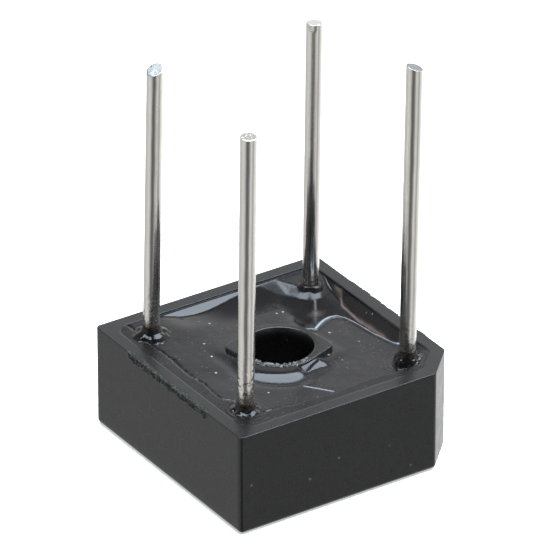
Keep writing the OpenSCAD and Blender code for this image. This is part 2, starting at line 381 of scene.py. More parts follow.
def tinned_wire():
    """Drawn wire with a bright tin coat: streaks along it, pits near its foot, bare copper at the potting
    and a cut end with painted shade darkening it."""
    g = Graph("tinned_wire")
    bare = g.field("bare")
    scuffed = g.field("scuffed")
    streak = g.noise(0.05, 3.0, 0.6, g.stretched(1, 1, 0.02))
    patch = g.noise(0.8, 3.0, 0.6, g.stretched(1, 1, 0.35))
    pits = g.math("MULTIPLY", g.range(g.noise(0.15, 2.0), 0.60, 0.67), scuffed)
    # Painted shade that darkens the cut ends, most on the torn ones.
    cut = g.field("cut")
    tin = g.mix(patch, (0.86, 0.84, 0.79, 1), (0.72, 0.70, 0.66, 1))
    worn = g.mix(pits, tin, (0.20, 0.17, 0.14, 1))
    rough = g.math("MULTIPLY", g.math("MAXIMUM", pits, cut), 0.3)
    g.set(
        Base_Color=g.mix(cut, g.mix(bare, worn, (0.42, 0.26, 0.17, 1)), (0.17, 0.17, 0.16, 1)),
        Metallic=1.0,
        Roughness=g.math("ADD", g.range(patch, 0.3, 0.7, 0.16, 0.24), rough),
        Normal=g.bump(streak, 0.006, 0.5, g.bump(pits, 0.03, 0.8)),
    )
    return g.material


def plain_metal(name, dark, light, roughness):
    """Rolled or cast metal with a fine mottle, for the pieces inside."""
    g = Graph(name)
    mottle = g.noise(0.4, 4.0)
    g.set(
        Base_Color=g.mix(mottle, dark, light),
        Metallic=1.0,
        Roughness=g.range(mottle, 0.2, 0.8, roughness, roughness + 0.15),
        Normal=g.bump(g.noise(0.08, 2.0), 0.004, 0.6),
    )
    return g.material


def chip_silicon():
    """Sawn silicon with a metallised face."""
    g = Graph("chip_silicon")
    lines = g.noise(0.06, 2.0, 0.5, g.stretched(0.05, 1, 1))
    g.set(
        Base_Color=g.mix(lines, (0.10, 0.11, 0.13, 1), (0.19, 0.20, 0.23, 1)),
        Metallic=0.6,
        Roughness=g.range(lines, 0.2, 0.8, 0.22, 0.40),
        Normal=g.bump(lines, 0.002, 0.5),
    )
    return g.material


CASE_MATERIAL = case_plastic()
POTTING_MATERIAL = potting_epoxy()
WIRE_MATERIAL = tinned_wire()

# ---------------------------------------------------------------- the case

BREAK_ENDS = (-4.3, -3.9, 3.9, 4.3)  # where the broken edges start, are full, fade and end, along Y
STRIP_HEIGHT = 0.42  # of the granular strip under the rim of the -X face
GRAIN_DEPTHS = (0.45, 0.75)  # of the strip's grains: their middle and their range, as shares of its reach
LEDGE_WIDTH = 0.16  # of the torn strip on top of the -X wall
LEDGE_DEPTH = 0.07
CHIP_DEPTH = 0.10  # of the crumbled front edge of the screw hole
CHIPPED_SIDE = (-0.55, -0.83)  # plan direction of that edge
CHIPPED_FROM, CHIPPED_FULL = 0.45, 0.85  # cosine of the angle to that direction

# Grain sizes and seeds: crumbs coarse and fine, the torn line on the rim, and flakes at the screw hole.
COARSE_CRUMBS, FINE_CRUMBS = (0.16, 3.1), (0.07, 9.7)
TORN_LINE = (0.9, 2.2)
FLAKES = (0.18, 5.5)

# Chunks of the snapped edge at +X: where along Y each starts and ends, and how far it stands out (0 to 1).
CHUNKS = [
    (3.95, 2.75, 0.55), (2.75, 1.95, 1.00), (1.80, 0.85, 0.80), (0.85, 0.25, 0.50),
    (0.10, -0.95, 0.70), (-0.95, -1.35, 0.35), (-3.10, -3.75, 0.55), (-3.75, -4.05, 0.25),
]


def strip_mask(y, z):
    """1 on the granular strip under the rim of the -X face."""
    low = RIM - STRIP_HEIGHT + 0.05 * np.sin(5.1 * y) + 0.04 * np.sin(11.7 * y + 1.0)
    return window(y, *BREAK_ENDS) * smooth(low - 0.03, low + 0.03, z)


def flash(y):
    """How far the snapped edge at +X stands out, from 0 to 1: chunks with steep ends."""
    out = np.zeros_like(y)
    for high, low, amount in CHUNKS:
        out = np.maximum(out, amount * window(y, low - 0.04, low + 0.10, high - 0.18, high + 0.05))
    return out


def case_rings():
    """Rings of the case's section: up the outside, over the rim, down the cavity, up the post, down the bore
    and back to the start along the underside."""
    top = RIM - BEVEL
    foot = []
    for angle in np.linspace(90, 0, 9):
        inward = EDGE_RADIUS * (1 - math.cos(math.radians(angle)))
        foot.append(ring(case_reach(inward), EDGE_RADIUS * (1 - math.sin(math.radians(angle)))))
    outer = case_reach(0)
    side = [ring(outer, z) for z in np.concatenate([np.linspace(0.9, 5.4, 8), np.linspace(5.6, top, 24)])]
    edge = [
        ring(case_reach(BEVEL * (1 - math.cos(a))), top + BEVEL * math.sin(a))
        for a in np.radians([30, 60, 90])
    ]
    rim = [ring(case_reach(inward), RIM) for inward in np.linspace(0.07, 0.31, 7)]
    rim += between(rim[-1], ring(CAVITY + BEVEL, RIM), 4, ends=False)
    lip = [
        ring(CAVITY + BEVEL * (1 - math.sin(a)), RIM - BEVEL * (1 - math.cos(a)))
        for a in np.radians([0, 45, 90])
    ]
    inside = between(ring(CAVITY, top), ring(CAVITY, FLOOR), 6, ends=False)
    base = between(ring(CAVITY, FLOOR), ring(POST, FLOOR), 4)
    post_side = between(ring(POST, FLOOR), ring(POST, top), 5, ends=False)
    post_top = [ring(POST, top), ring(POST - BEVEL, RIM)]
    post_top += between(ring(POST - BEVEL, RIM), ring(HOLE + BEVEL, RIM), 6, ends=False)
    post_top += [ring(HOLE + BEVEL, RIM), ring(HOLE, top)]
    bore = between(ring(HOLE, top), ring(HOLE, 0), 8, ends=False)
    under = between(ring(HOLE, 0), foot[0], 5)[:-1]
    return np.array(foot + side + edge + rim + lip + inside + base + post_side + post_top + bore + under)


def make_case():
    """The case with its broken edges and the crumbled edge of the screw hole."""
    rings = case_rings()
    x, y, z = (rings[..., k] for k in range(3))
    radius = np.hypot(x, y)
    outside = radius > np.broadcast_to(case_reach(0.06), radius.shape)
    left = outside & (x < -HALF_SIDE + 0.1)
    right = outside & (x > HALF_SIDE - 0.1)
    crumbs = grain(x, y, z, *COARSE_CRUMBS) * 0.6 + grain(x, y, z, *FINE_CRUMBS) * 0.4

    # The -X face tore off in grains, and so did the outer part of the rim over it.
    strip = np.where(left, strip_mask(y, z), 0)
    middle, spread = GRAIN_DEPTHS
    rings[..., 0] -= strip * FLASH_REACH * np.clip(middle + spread * crumbs, 0, 1)
    torn = LEDGE_WIDTH + 0.10 * grain(x, y, z, *TORN_LINE)
    ledge = window(y, *BREAK_ENDS) * (z > RIM - 0.01) * (x < 0)
    ledge = ledge * (1 - smooth(torn - 0.03, torn + 0.03, x + HALF_SIDE))
    rings[..., 2] -= ledge * LEDGE_DEPTH * np.clip(0.5 + 0.9 * crumbs, 0, 1)

    # The +X face snapped off in chunks.
    snapped = np.where(right, flash(y) * smooth(RIM - 0.75 + 0.25 * np.sin(2.3 * y), RIM - 0.3, z), 0)
    rings[..., 0] += snapped * FLASH_REACH * np.clip(0.85 + 0.25 * crumbs, 0, 1)

    # The post's top crumbled along the front of the screw hole.
    on_post = (radius < POST + 0.01) & (radius > HOLE - 0.01) & (z > RIM - 0.2)
    facing = (x * CHIPPED_SIDE[0] + y * CHIPPED_SIDE[1]) / np.maximum(radius, 1e-6)
    chipped = np.where(on_post, smooth(CHIPPED_FROM, CHIPPED_FULL, facing), 0)
    flakes = grain(x, y, z, *FLAKES)
    rings[..., 2] -= chipped * CHIP_DEPTH * np.clip(0.4 + flakes + 0.5 * crumbs, 0, 1)

    broken = np.clip(strip + ledge + snapped * 0.35, 0, 1)
    return loft("case_moulding", rings, CASE_MATERIAL, closed=True, broken=broken, chipped=chipped)


# ---------------------------------------------------------------- the leads

# Each lead: length above the rim, lean, slant of the cut end and the direction it falls in, as in the CAD
# part, and wear from 0 to 1.
LEADS = {
    "lead_positive": (18.8, 0.75, 17, -20, 0.25),
    "lead_negative": (17.3, 1.2, 24, 200, 0.5),
    "lead_ac_1": (17.6, 0.65, 3, -120, 0.8),
    "lead_ac_2": (17.2, 0.6, 4, 60, 0.2),
}

# Profiles: the head's by radius and height over its foot, and a cut end's by radius and depth under its tip.
HEAD = [(0.02, 0.0), (0.69, 0.0), (0.70, 0.03), (0.70, 0.22), (0.66, 0.25), (BARE_RADIUS, 0.27)]
CUT_END = [(0.49, 0.012), (0.475, 0.0), (0.38, 0.0), (0.28, 0.0), (0.18, 0.0), (0.09, 0.0), (0.01, 0.0)]
POINTS_ROUND_WIRE = 72
TORN_SLANT = 10  # a cut end that slants more than this was torn off and is rough, with more painted shade darkening it
END_HEIGHT = 0.55  # of the part of a wire that counts as its cut end
END_RADIUS = 0.47  # inside which a cut end is torn, short of its edge
SHEARED_RADIUS = 0.485  # inside which a cut end has no tin
SLANTED = (1.4, 0.1)  # from the tip: where rings start to turn to the cut's slant, and where they have it

# The squeeze under the cut end of one lead: its depth, direction from the wet side and width in degrees, and
# how far from the tip it fades out and is full.
PINCHED_LEAD = "lead_ac_2"
PINCH_DEPTH, PINCH_TURN, PINCH_WIDTH = 0.10, 4, 34
PINCH_REACH = (0.50, 0.32)

DENT_DEPTH, DENT_SINK = 0.008, 0.006  # of the dents along a wire, and how far the wire lies under its size
DENTED_RADIUS = 0.4  # inside which a cut end has neither dents nor nicks
NICK_DEPTH = 0.05
DENT_SIZE, NICK_SIZE, TEAR_SIZE = 0.5, 0.22, 0.25
TEAR_DEPTH, CUT_DEPTH = 0.03, 0.008  # roughness of a torn and of a clean cut end
TORN_END_SHADE, CLEAN_END_SHADE = 0.9, 0.1  # and how much painted shade darkens each
GRIP_HEIGHT, GRIP_WIDTH = 1.6, 0.9  # over the bend, where the wire was gripped and nicked
SCUFF_HEIGHT, SCUFF_FADE = 0.4, 1.4  # over the bend, where scuffs start to thin out, and how fast
TIN_EDGE = -0.25  # from the collar's top over the rim to the edge of the tin over the bend

# The potting's collar on each lead: its top, the step under that, the width of its cone, its number of lobes,
# where the first one is, in degrees from the wet side, and the height of the wrinkles round the collar.
CREEP = {
    "lead_positive": (0.36, 0.25, 0.20, 5, 25, 0.024),
    "lead_negative": (0.60, 0.26, 0.42, 4, 38, 0.010),
    "lead_ac_1": (0.42, 0.25, 0.24, 5, -28, 0.024),
    "lead_ac_2": (0.02, 0.00, 0.14, 3, 60, 0.002),
}


def lead_foot(node):
    """Where a lead's axis crosses the mounting face's plane, from its head's centre."""
    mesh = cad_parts[node].data
    points = np.array([v.co for v in mesh.vertices]) / MM
    head = points[points[:, 2] < points[:, 2].min() + 0.01]
    return (head.min(0) + head.max(0))[:2] / 2


FEET = {node: lead_foot(node) for node in LEADS}


def wire_rings(node, length, lean, slant, direction, turns):
    """Rings of a clean lead, from its head to its cut end."""
    foot = FEET[node]
    base_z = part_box(node)[0].z / MM
    lean, heading = math.radians(lean), math.radians(LEAN_DIRECTION)
    along = np.array([math.sin(lean) * math.cos(heading), math.sin(lean) * math.sin(heading), math.cos(lean)])
    across = np.array([
        math.cos(lean) * math.cos(heading), math.cos(lean) * math.sin(heading), -math.sin(lean),
    ])
    side = np.cross(along, across)
    bend = np.array([foot[0], foot[1], BEND_Z])
    tip = (length - (BEND_Z - RIM)) / math.cos(lean)
    cut = math.tan(math.radians(slant)) * np.cos(turns + heading - math.radians(direction))

    def tinned(distance, radius, share):
        """A ring at a distance along the tinned wire, turned by a share of the cut's slant."""
        local = radius[:, None] * (np.cos(turns)[:, None] * across + np.sin(turns)[:, None] * side)
        return bend + along * (distance - share * cut * radius)[:, None] + local

    straight = [(radius, base_z + rise) for radius, rise in HEAD] + [(BARE_RADIUS, RIM - 1.0)]
    straight += [(BARE_RADIUS, z) for z in np.linspace(RIM - 0.5, BEND_Z - 0.01, 30)]
    rings = [ring(radius, z, turns) + [foot[0], foot[1], 0] for radius, z in straight]
    levels = np.concatenate([
        np.linspace(0, 3.0, 60), np.linspace(3.1, tip - 1.2, 80), np.linspace(tip - 1.15, tip - 0.03, 22),
    ])
    for distance in levels:
        radius = np.full(turns.shape, WIRE_RADIUS)
        if node == PINCHED_LEAD:
            squeezed = smooth(*(tip - from_tip for from_tip in PINCH_REACH), distance)
            radius -= PINCH_DEPTH * bell(off_wet_side(np.degrees(turns)), PINCH_TURN, PINCH_WIDTH) * squeezed
        share = smooth(*(tip - from_tip for from_tip in SLANTED), distance)
        rings.append(tinned(np.full(turns.shape, distance), radius, share))
    for radius, depth in CUT_END:
        rings.append(tinned(np.full(turns.shape, tip - depth), np.full(turns.shape, radius), 1.0))
    return np.array(rings)


def make_lead(node, length, lean, slant, direction, wear, seed):
    """A lead with its wear: dents, nicks, scuffs and a torn end."""
    turns = np.linspace(0, 2 * math.pi, POINTS_ROUND_WIRE, endpoint=False)
    rings = wire_rings(node, length, lean, slant, direction, turns)
    x, y, z = (rings[..., k] for k in range(3))
    height = z - BEND_Z
    end = height > height.max() - END_HEIGHT
    torn_off = slant > TORN_SLANT

    # The tinned wire is dented all along, and nicked where it was gripped.
    dents = grain(x, y, z * 0.5, DENT_SIZE, seed) * DENT_DEPTH
    grip = bell(height, GRIP_HEIGHT, GRIP_WIDTH)
    nicks = np.minimum(grain(x, y, z, NICK_SIZE, seed + 4), 0) * NICK_DEPTH * grip * wear
    out = rings[..., :2] - rings[..., :2].mean(1, keepdims=True)
    size = np.maximum(np.linalg.norm(out, axis=-1, keepdims=True), 1e-6)
    worn = np.where(height > 0, np.minimum(dents - DENT_SINK, 0) + nicks, 0)[..., None]
    rings[..., :2] += out / size * worn * (size > DENTED_RADIUS)
    size = size[..., 0]

    # The cut end is torn inside its edge.
    torn = grain(x, y, z, TEAR_SIZE, seed + 8) * (TEAR_DEPTH if torn_off else CUT_DEPTH)
    inner = end & (size < END_RADIUS)
    rings[..., 2] += np.where(inner, np.minimum(torn, 0), 0)

    tin_edge = CREEP[node][0] + TIN_EDGE + 0.02 * np.sin(3 * np.broadcast_to(turns, height.shape) + seed)
    bare = 1 - smooth(tin_edge - 0.02, tin_edge + 0.02, height)
    scuffs = wear * np.exp(-np.maximum(height - SCUFF_HEIGHT, 0) / SCUFF_FADE)
    scuffed = np.clip(scuffs + np.where(inner, 0.3, 0), 0, 1)
    # Painted shade on the cut end's face, darker where it was torn off.
    painted_end_shade = np.where(end & (size < SHEARED_RADIUS), TORN_END_SHADE if torn_off else CLEAN_END_SHADE, 0)
    return loft(node + "_wire", rings, WIRE_MATERIAL, bare=bare, scuffed=scuffed, cut=painted_end_shade)


# ---------------------------------------------------------------- the potting

# The level that it cured to: its depth under the rim at the middle, and how steeply and which way it falls.
FILL_DEPTH = 0.42
FILL_SLOPE = math.tan(math.radians(2.6))
FILL_DIRECTION = 34
HIGH_SKIN = -0.03  # height of the potting where it has climbed a wall all the way
LOW_SKIN = -0.05  # and where it stops a little lower, on the post and the +X wall
SURFACE_TOP = -0.012  # the highest that it lies away from the leads

# Its skin: size and seed of its waves and ripples, their heights, and its rise to the back at the left.
WAVES, WAVE_HEIGHT = (1.9, 1.3), 0.020
RIPPLES, RIPPLE_HEIGHT = (0.55, 7.9), 0.004
BACK_RISE = 0.045

# Cosine and sine of the turn from the plan to the side that the photo shows.
VIEW_COS, VIEW_SIN = 0.834, 0.552

# The swell round the post: distance from the post to the middle of its slope and half the slope's width,
# close to the post and what is added in front, and the share of the full height that it has at the back.
SWELL_MIDDLE, SWELL_MIDDLE_FRONT = 0.44, 0.58
SWELL_HALF, SWELL_HALF_FRONT = 0.31, 0.05
SWELL_BEHIND = 0.10
FRONT_SPREAD = 68  # degrees to each side of the wet side that count as the front
BROAD_SPREAD, BROAD_TURN = 36, 8  # degrees over which it is broad, and how far that is off the wet side

# The flank at the right of the post: a point on its top and the way it falls, each to the right and away.
FLANK_TOP = (1.02, -2.06)
FLANK_FALL = (0.562, -0.828)
FLANK_LEVEL, FLANK_SLOPE = -0.04, 0.54
FLANK_BOW, FLANK_MIDDLE = 0.10, 0.8  # how fast it falls to each side, and from where
FLANK_ALONG = (-0.2, 0.2, 1.3, 1.9)  # where it starts, is full, fades and ends, sideways
FLANK_DOWN = (-1.5, -1.0, 0.60, 0.90)  # and down its slope

# The crack down the flank: a point on it, the way its step falls, the step's depth, and where the step
# starts, is full, fades and ends.
CRACK_AT = (1.70, -2.20)
CRACK_FALL = (0.82, -0.57)
CRACK_DEPTH = 0.08
CRACK_STEP = (-0.08, 0.08, 0.2, 0.9)

# Shore of the sunken trough along the +X wall, in plan.
TROUGH = np.array([
    (2.3, 2.4), (2.9, 1.6), (3.35, 1.25), (3.85, 1.62), (4.34, 1.90), (4.87, 2.05), (5.37, 1.96),
    (5.65, 1.53), (5.80, 0.80), (5.88, -0.13), (5.94, -0.99), (6.10, -1.87), (6.26, -2.69), (6.5, -3.4),
    (7.8, -3.7), (7.8, 7.8), (5.8, 7.8), (4.4, 5.0), (3.0, 3.6),
])
TROUGH_DEPTH = 0.26
SHORE_X = (2.85, 3.25)  # where the shore turns sharp along X
SHORE_Y = (-4.0, -2.9, 2.6, 3.4)  # where it starts, is sharp, fades and ends along Y
CREST_X, CREST_Y = (4.1, 1.1), (1.9, 1.0)  # middle and width of the lip's highest part
LIP_HEIGHT, CREST_HEIGHT = 0.05, 0.07
BANK_WIDTH = 0.58  # of the slope from the trough up the +X wall

# The steep band up the back wall: its least width, what is added left of the middle, its slope, and how far
# from the wall the gentle rise to it starts.
BAND_WIDTH, BAND_WIDER = 0.12, 0.62
BAND_MIDDLE, BAND_SPREAD = -1.4, 2.6  # along X, of what is added
BAND_SLOPE = 0.46
CLIMB_WIDTH = 2.4

# Outline of the apron's top round the back lead, to the right and away.
APRON = np.array([
    (-1.0, 8.35), (0.2, 7.73), (0.84, 7.37), (1.41, 7.0), (1.79, 6.85), (2.05, 6.95), (2.3, 7.4), (2.5, 8.0),
    (2.6, 10.5), (-1.5, 10.5),
])
APRON_TOP = -0.10
APRON_SLOPE = 0.50
APRON_WIDTH, APRON_WIDER = 0.70, 0.30  # of its slope, and what is added at the left
APRON_JOIN = 0.03  # softness of its join to the rest

FLUSH_LEVEL = -0.02  # of the potting along the two front walls
CREASE_AT = 0.50  # distance of their crease from a wavy line along the walls
CREASE_WIDTH = 0.065
COLLAR_SLOPE = 0.45
LOBE_DEPTH = 0.10
RING_PITCH = 0.27  # of the wrinkles round a collar
FIBRE = ((-1.185, -4.40), (-0.11, -5.80))  # from one end to the other, in plan
FIBRE_WIDTH, FIBRE_HEIGHT = 0.045, 0.03

# How far the gloss reaches round a lead, further round the back one, and the share of it that the apron and
# the flank by the post lose.
GLOSS_REACH = {"lead_positive": 0.5, "lead_negative": 0.5, "lead_ac_1": 0.5, "lead_ac_2": 1.6}
APRON_DULLED, FLANK_DULLED = 0.75, 0.45

# The painted copper-coloured reflection in the trough: its line along Y at the foot of the bank, and its
# patch by the crest.
REFLECTION_LINE_X, REFLECTION_LINE_SHIFT = 6.30, 0.45
REFLECTION_LINE_Y = (-2.4, -1.6, 4.0, 4.6)
REFLECTION_PATCH_X, REFLECTION_PATCH_Y = (4.45, 0.38), (2.80, 0.28)


def signed_distance(x, y, outline):
    """Distance to a closed outline, positive inside it."""
    best = np.full(x.shape, 1e9)
    inside = np.zeros(x.shape, bool)
    for a, b in zip(outline, np.roll(outline, -1, 0)):
        edge = b - a
        best = np.minimum(best, to_segment(x, y, a, b))
        if abs(edge[1]) > 1e-9:
            crosses = (a[1] > y) != (b[1] > y)
            inside ^= crosses & (x < a[0] + (y - a[1]) / edge[1] * edge[0])
    return np.where(inside, best, -best)


def to_segment(x, y, a, b):
    """Distance to a segment between two points."""
    edge = np.subtract(b, a)
    t = np.clip(((x - a[0]) * edge[0] + (y - a[1]) * edge[1]) / (edge @ edge), 0, 1)
    return np.hypot(x - a[0] - t * edge[0], y - a[1] - t * edge[1])


def cured_level(x, y, waves, ripples):
    """The level that the potting cured to: out of true, a little wavy, and higher at the back left."""
    heading = math.radians(FILL_DIRECTION)
    downhill = x * math.cos(heading) + y * math.sin(heading)
    height = -(FILL_DEPTH + FILL_SLOPE * downhill) + WAVE_HEIGHT * waves + RIPPLE_HEIGHT * ripples
    return height + BACK_RISE * ramp_up(y + 1.0, 0.5) * (1 - smooth(-4.0, 1.5, x))


def swell_round_post(height, x, y, waves):
    """Potting that swells round the post, broadly in front and close to the post further round.
    Returns the height and how wet the swell looks."""
    turn = np.degrees(np.arctan2(y, x))
    from_post = np.hypot(x, y) - np.interp(np.radians(turn) % (2 * math.pi), ANGLES, POST, period=2 * math.pi)
    facing = np.exp(-((off_wet_side(turn) / FRONT_SPREAD) ** 4))
    broad = np.exp(-(((off_wet_side(turn) + BROAD_TURN) / BROAD_SPREAD) ** 4))
    middle = SWELL_MIDDLE + SWELL_MIDDLE_FRONT * broad + 0.03 * waves
    half = SWELL_HALF + SWELL_HALF_FRONT * broad
    swell = 1 - slope(from_post, middle - half, middle + half, 0.07)
    rise = swell * ((SWELL_BEHIND + (1 - SWELL_BEHIND) * facing) * (LOW_SKIN - height))
    dip = 0.08 * facing * bell(from_post, middle + half + 0.15, 0.4)
    return height - dip + rise, smooth(0.05, 0.3, swell) * facing


def flank_by_post(height, across, away, ripples):
    """A short flank that hugs the post on the right of the swell, with a crack down it.
    Returns the height and a mask of the flank."""
    (top_across, top_away), (fall_across, fall_away) = FLANK_TOP, FLANK_FALL
    in_front = fall_across * (across - top_across) + fall_away * (away - top_away)
    sideways = -fall_away * (across - top_across) + fall_across * (away - top_away)
    beside = window(sideways, *FLANK_ALONG) * window(in_front, *FLANK_DOWN)
    past_crack = CRACK_FALL[0] * (across - CRACK_AT[0]) + CRACK_FALL[1] * (away - CRACK_AT[1])
    past_crack += 0.02 * ripples
    flank = FLANK_LEVEL - FLANK_SLOPE * ramp_up(in_front - 0.02, 0.10)
    flank -= FLANK_BOW * (sideways - FLANK_MIDDLE) ** 2
    flank -= CRACK_DEPTH * window(past_crack, *CRACK_STEP)
    return towards(height, flank, beside), beside


def sink_trough(height, x, y):
    """The trough with its sharp shore and raised lip. Its far side climbs the +X wall and the cut corner's.
    Returns the height, the distance inside the shore, masks of shore and crest, and how far it sank."""
    trough = signed_distance(x, y, TROUGH)
    shore = smooth(*SHORE_X, x) * window(y, *SHORE_Y)
    crest = bell(x, *CREST_X) * bell(y, *CREST_Y)
    lip = (LIP_HEIGHT + CREST_HEIGHT * crest) * bell(trough, -0.10 - 0.06 * crest, 0.12 + 0.08 * crest)
    soft = 0.07 + 0.6 * (1 - shore)
    sunk = smooth(-soft, soft + 0.22, trough) * smooth(1.6, 3.2, x)
    height = height + shore * lip - TROUGH_DEPTH * smooth(2.0, 4.5, x) * sunk
    from_right = INNER - x
    height = towards(height, LOW_SKIN, slope(BANK_WIDTH - from_right, 0.0, BANK_WIDTH, 0.08))
    from_cut = (2 * HALF_SIDE - CORNER_CUT - (x - y)) / math.sqrt(2) - WALL
    height = towards(height, HIGH_SKIN, 1 - slope(from_cut, 0.25, 1.0, 0.06))
    return height, trough, shore, crest, sunk


def climb_back_wall(height, x, y, ripples):
    """The steep glossy band up the back wall, widest left of the middle, after a gentle rise.
    Returns the height and how far it has climbed, from 0 to 1."""
    from_back = INNER - y
    wider = BAND_WIDER * bell(x, BAND_MIDDLE, BAND_SPREAD) * smooth(-4.6, -2.6, x)
    band = BAND_WIDTH + wider + 0.02 * ripples
    step = from_back - band
    steep = HIGH_SKIN - BAND_SLOPE * (from_back - ramp_up(step, 0.05))
    rise = np.clip(step / (CLIMB_WIDTH - band), 0, 1)
    climb = np.where(from_back < CLIMB_WIDTH, 1 - rise, 0)
    height = towards(height, steep, climb) - 0.07 * bell(from_back, 0.03, 0.05)
    from_corner = x + INNER + from_back
    return towards(height, HIGH_SKIN, 1 - smooth(2.3, 3.0, from_corner)), climb


def add_apron(height, across, away):
    """The apron round the back lead, which slopes to the front.
    Returns the height and a mask of the apron."""
    past = np.maximum(-signed_distance(across, away, APRON), 0)
    width = APRON_WIDTH + APRON_WIDER * (1 - smooth(-0.4, 0.9, across))
    fall = APRON_SLOPE * width * slope(past, 0.0, width, 0.06) + 0.45 * np.clip((past - width) / 3.0, 0, 1)
    height = np.logaddexp(height / APRON_JOIN, (APRON_TOP - fall) / APRON_JOIN) * APRON_JOIN
    return height, (1 - smooth(width, width + 0.2, past)) * smooth(-1.4, -1.0, across)


def flush_with_front(height, x, y, waves, ripples):
    """Potting that ran level with the rim on the two front sides, up to a wavy crease."""
    from_left = x + INNER + 0.04 * np.sin(1.5 * y + 0.6) - 0.55 * smooth(-2.9, -4.2, y)
    from_near = y + INNER + 0.10 * np.sin(1.1 * x + 2.2) - 0.2 * smooth(-3.2, -4.2, x)
    inward = np.minimum(from_left, from_near) - 0.22
    edge = CREASE_AT + 0.10 * ripples + 0.05 * waves
    flush = np.clip(1 - slope(inward, edge - 0.06, edge + 0.14, 0.02), 0, 1)
    height = towards(height, FLUSH_LEVEL + RIPPLE_HEIGHT * ripples, flush)
    fade = 1 - smooth(-1.5, 0.5, x) * smooth(-4.6, -5.2, y)
    groove = bell(inward, edge + 0.13, CREASE_WIDTH) * (0.5 + 0.9 * np.clip(ripples + 0.4, 0, 1)) * fade
    return height - (0.04 + 0.05 * smooth(-3.5, -4.5, x)) * groove


def collar(height, x, y, node):
    """The potting's lobed and wrinkled collar round one lead.
    Returns the height and the distance off the wire."""
    dx, dy = x - FEET[node][0], y - FEET[node][1]
    off = np.maximum(np.hypot(dx, dy) - WIRE_RADIUS, 0)
    around = np.arctan2(dy, dx) - math.radians(WET_SIDE)
    top, step, width, lobes, phase, ripple = CREEP[node]
    lobe = np.cos(lobes * (around - math.radians(phase)))
    width = width * (1 + 0.15 * lobe + 0.45 * grain(x, y, 0, 0.4, phase))
    cone = top - step * smooth(0, 0.10, off) - COLLAR_SLOPE * off
    cone -= LOBE_DEPTH * np.clip(-lobe, 0, 1) * smooth(0.0, 0.15, off)
    height = towards(height, cone, 1 - smooth(width, width + 0.16, off))
    wrinkles = np.sin(2 * math.pi * (off / RING_PITCH + 0.4 * grain(x, y, 0, 0.8, phase)))
    return height + ripple * wrinkles * np.exp(-off / 0.5) * smooth(width, width + 0.15, off), off


def potting_surface(x, y):
    """Height of the potting over a point, with how glossy it is there, how much painted copper-coloured
    reflection it gets, and how much painted crest highlight and light fibre colour it gets.
    """
    waves = grain(x, y, 0, *WAVES)
    ripples = grain(x, y, 0, *RIPPLES)
    across, away = x * VIEW_COS - y * VIEW_SIN, x * VIEW_SIN + y * VIEW_COS  # to the right and away
    height = cured_level(x, y, waves, ripples)
    height, wet = swell_round_post(height, x, y, waves)
    height, beside = flank_by_post(height, across, away, ripples)
    height, trough, shore, crest, sunk = sink_trough(height, x, y)
    height, climb = climb_back_wall(height, x, y, ripples)
    height, on_apron = add_apron(height, across, away)
    height = flush_with_front(height, x, y, waves, ripples)

    # It crept up each lead, and shines round it.
    gloss = np.clip(smooth(0.0, 0.45, climb) + 0.7 * sunk + wet + beside, 0, 1)
    near_lead = np.zeros(x.shape, bool)
    for node in FEET:
        height, off = collar(height, x, y, node)
        near_lead |= off < 0.7
        gloss = np.maximum(gloss, 1 - smooth(GLOSS_REACH[node], GLOSS_REACH[node] + 0.3, off))
    gloss *= 1 - APRON_DULLED * on_apron - FLANK_DULLED * beside

    # A fibre lies in the skin near the front.
    fibre = bell(to_segment(x, y, *FIBRE), 0, FIBRE_WIDTH)
    height += FIBRE_HEIGHT * fibre

    # The lip's crest gets a painted highlight and the fibre is light-coloured; a painted copper-coloured
    # reflection lies as a line and a patch at the foot of the bank.
    width = (0.085 + 0.075 * crest) * (1 + 0.3 * ripples)
    # Painted highlight along the crest of the lip.
    pale = shore * bell(trough, 0.01 - 0.04 * crest, width) * (0.65 + 0.35 * smooth(-4.4, -1.0, y))
    pale = np.maximum(pale, 0.6 * fibre)
    # Painted copper-coloured reflection: a line at the foot of the bank and a patch by the crest.
    foot = x - (REFLECTION_LINE_X + REFLECTION_LINE_SHIFT * smooth(2.6, 3.8, y) + 0.05 * waves)
    streak = bell(foot, 0, 0.08 + 0.04 * ripples) * window(y, *REFLECTION_LINE_Y)
    patch = bell(x, *REFLECTION_PATCH_X) * bell(y, *REFLECTION_PATCH_Y)
    amber = np.clip(0.9 * streak + 0.8 * patch * (0.6 + ripples), 0, 1)
    return np.where(near_lead, height, np.minimum(height, SURFACE_TOP)), gloss, amber, pale


def make_potting():
    """The potting as one closed skin: its surface, and its sides and floor along the case and the post."""
    shares = np.concatenate([[0], np.linspace(0.004, 0.996, 84), [1]])
    radii = POST + (CAVITY - POST) * shares[:, None]
    x, y = radii * np.cos(ANGLES), radii * np.sin(ANGLES)
    height, *fields = potting_surface(x, y)
    top = np.stack([x, y, RIM + height], -1)
    rings = list(top)
    rings += between(top[-1], ring(CAVITY, FLOOR), 3, ends=False)
    rings += between(ring(CAVITY, FLOOR), ring(POST, FLOOR), 4)
    rings += between(ring(POST, FLOOR), top[0], 3, ends=False)
    hidden = np.zeros((len(rings) - len(top), AROUND))
    gloss, amber, pale = (np.concatenate([field, hidden])[::-1] for field in fields)
    return loft(
        "potting_fill", rings[::-1], POTTING_MATERIAL, closed=True, gloss=gloss, amber=amber, pale=pale,
    )


# ---------------------------------------------------------------- build the pieces

case = make_case()
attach(case, "root")
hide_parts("case")

potting = make_potting()
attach(potting, "root")
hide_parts("potting_compound")

for seed, (node, values) in enumerate(LEADS.items()):
    wire = make_lead(node, *values, seed=20.0 + 3 * seed)
    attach(wire, "root")
    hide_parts(node)

